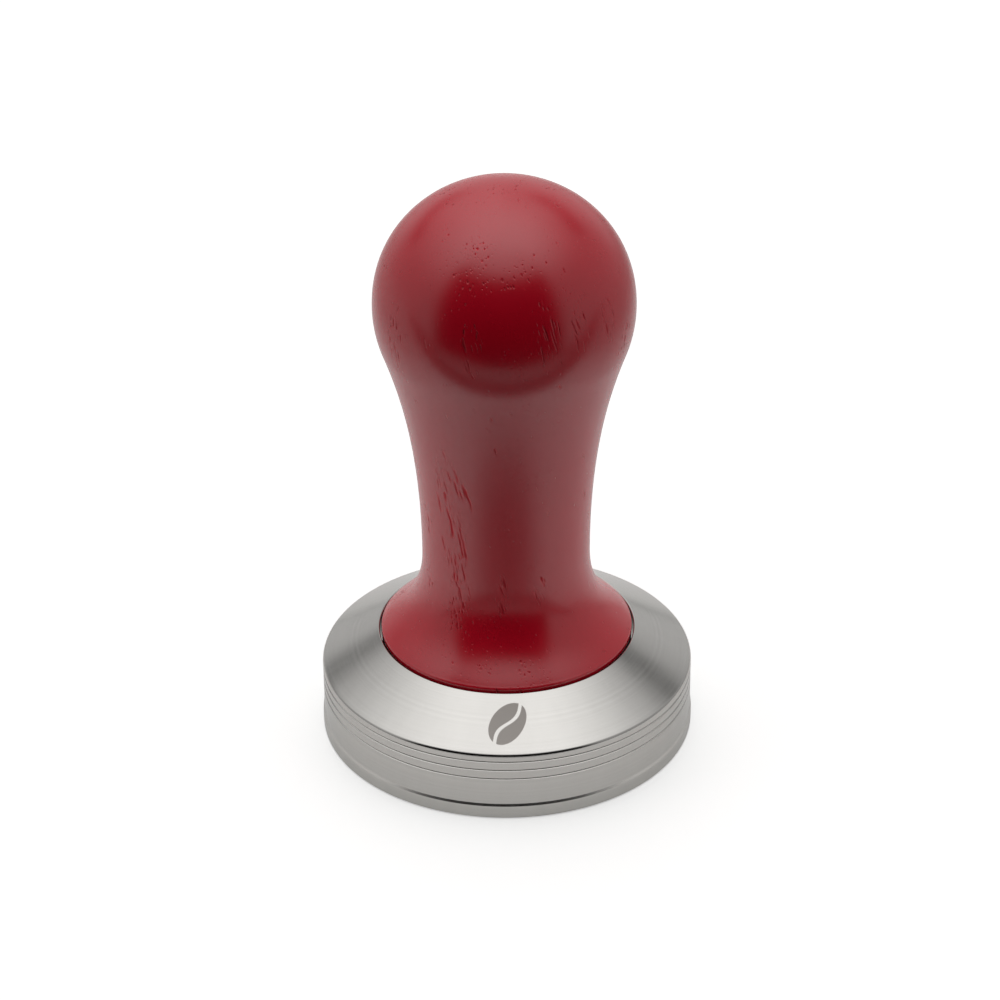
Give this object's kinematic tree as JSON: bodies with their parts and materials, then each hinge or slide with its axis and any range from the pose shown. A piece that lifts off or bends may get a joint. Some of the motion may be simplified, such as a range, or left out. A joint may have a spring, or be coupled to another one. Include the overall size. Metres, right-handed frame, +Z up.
{
  "type": "espresso tamper",
  "caption": "Hand tamper for ground coffee: turned round steel base with a tapered shoulder, and a ball-topped lacquered wooden handle screwed to it.",
  "frame": {"origin": "centre of the tamping face, which the tool stands on", "axes": "+Z up along the tool's axis, from the tamping face to the top of the knob; -Y is the front"},
  "size_m": [0.0584, 0.0584, 0.0919],
  "materials": {
    "stainless_steel": "satin turned",
    "zinc_plated_steel": "zinc plated",
    "black_rubber": "matte",
    "brass": "machined",
    "red_lacquered_wood": "satin red lacquer over open-pored ash"
  },
  "bodies": {
    "base": {"tamper_base": "stainless_steel", "stud": "zinc_plated_steel"},
    "gasket": {"seat_gasket": "black_rubber"},
    "handle": {"threaded_insert": "brass", "handle": "red_lacquered_wood"}
  },
  "joints": [
    {"name": "handle_lift", "type": "slide", "parent": "base", "child": "gasket", "axis": [0, 0, 1], "range_m": [0, 0.01375]},
    {"name": "handle_turn", "type": "hinge", "parent": "gasket", "child": "handle", "pos_m": [0, 0, 0], "axis": [0, 0, 1], "range_deg": [0, 3960]}
  ],
  "couplings": [
    {"joint": "handle_lift", "follows": "handle_turn", "m_per_rad": 0.00019894}
  ]
}
